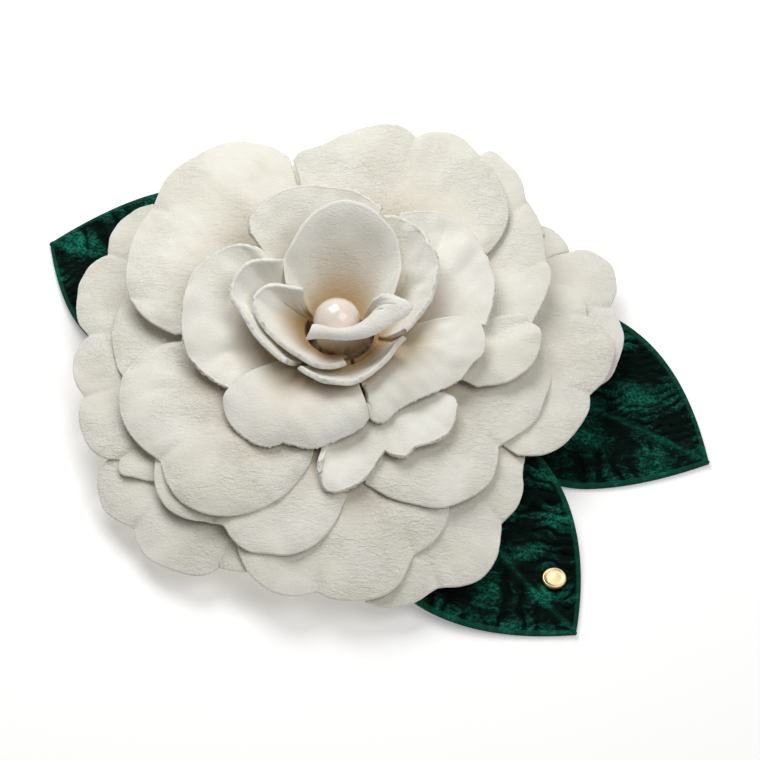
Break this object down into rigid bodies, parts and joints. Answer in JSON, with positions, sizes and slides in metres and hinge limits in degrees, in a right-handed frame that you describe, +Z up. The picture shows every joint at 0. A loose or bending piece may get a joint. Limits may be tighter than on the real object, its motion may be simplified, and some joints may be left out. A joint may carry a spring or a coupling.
{
  "type": "flower hair clip",
  "caption": "Layered cream leather flower with a pearl centre and emerald velvet leaves on a felt disc that carries a sprung alligator hair clip.",
  "frame": {"origin": "middle of the part's bounding box, on the surface it lies on", "axes": "+Z up, out of the face of the flower; +X along the clip towards its thumb tab, which is also the long way across the leaves; +Y towards the tall petal behind the pearl"},
  "size_m": [0.1446, 0.1168, 0.0395],
  "materials": {
    "leather": "soft matt cream leather with a fine grain",
    "velvet": "emerald crushed velvet with an embossed midrib and veins",
    "pearl": "pearlised lacquer, slightly pink",
    "felt": "pressed wool felt",
    "steel": "bright nickel-plated spring steel",
    "gold": "satin pale gold plating"
  },
  "bodies": {
    "flower": {"outer_petal_front_left": "leather", "outer_petal_front_right": "leather", "outer_petal_right_back": "leather", "outer_petal_back_left": "leather", "outer_petal_left": "leather", "outer_petal_front": "leather", "outer_petal_right": "leather", "outer_petal_back_right": "leather", "middle_petal_left": "leather", "middle_petal_front_left": "leather", "middle_petal_front_right": "leather", "middle_petal_right_back": "leather", "middle_petal_back": "leather", "big_petal_front_left": "leather", "big_petal_back_left": "leather", "big_petal_back_right": "leather", "big_petal_right": "leather", "inner_petal_left": "leather", "inner_petal_back": "leather", "inner_petal_right_back": "leather", "inner_petal_front_right": "leather", "inner_petal_front_left": "leather", "inner_petal_right": "leather", "inner_petal_back_right": "leather", "heart_petal_left": "leather", "heart_petal_front": "leather", "heart_petal_back": "leather", "heart_petal_inner_left": "leather", "heart_petal_lip": "leather", "leaf_left": "velvet", "leaf_right": "velvet", "leaf_front": "velvet", "leaf_stud": "gold", "pearl": "pearl", "pearl_post": "steel", "petal_core": "felt", "backing_disc": "felt", "clip_strap": "leather", "clip_plate": "steel", "hinge_pin": "steel", "torsion_spring": "steel"},
    "jaw": {"clip_jaw": "steel"}
  },
  "joints": [
    {"name": "jaw_hinge", "type": "hinge", "parent": "flower", "child": "jaw", "pos_m": [0.00178, 0.00316, 0.0052], "axis": [0, -1, 0], "range_deg": [0, 24], "stiffness_Nm_per_rad": 0.05, "springref_deg": -57.3, "deforming": ["torsion_spring"]}
  ]
}
